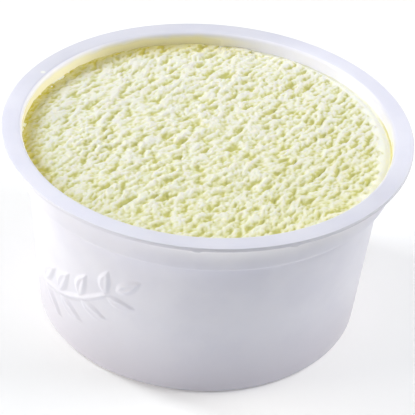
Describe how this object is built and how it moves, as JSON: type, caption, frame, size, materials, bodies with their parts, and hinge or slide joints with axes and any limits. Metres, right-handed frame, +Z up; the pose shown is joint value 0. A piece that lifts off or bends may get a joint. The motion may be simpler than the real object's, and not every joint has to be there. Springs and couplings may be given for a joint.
{
  "type": "gelato cup",
  "caption": "Round single-serve plastic cup with a flat rim flange and a raised leaf sprig, filled with pale yellow-green gelato.",
  "frame": {"origin": "centre of the foot, on the surface that the cup stands on", "axes": "+Z up, along the cup's axis; -Y is the front, and the raised sprig is at the front left (-X, -Y)"},
  "size_m": [0.076, 0.076, 0.0384],
  "materials": {
    "cup_plastic": "satin",
    "gelato": "matte"
  },
  "bodies": {
    "root": {"cup": "cup_plastic", "gelato": "gelato"}
  },
  "joints": []
}
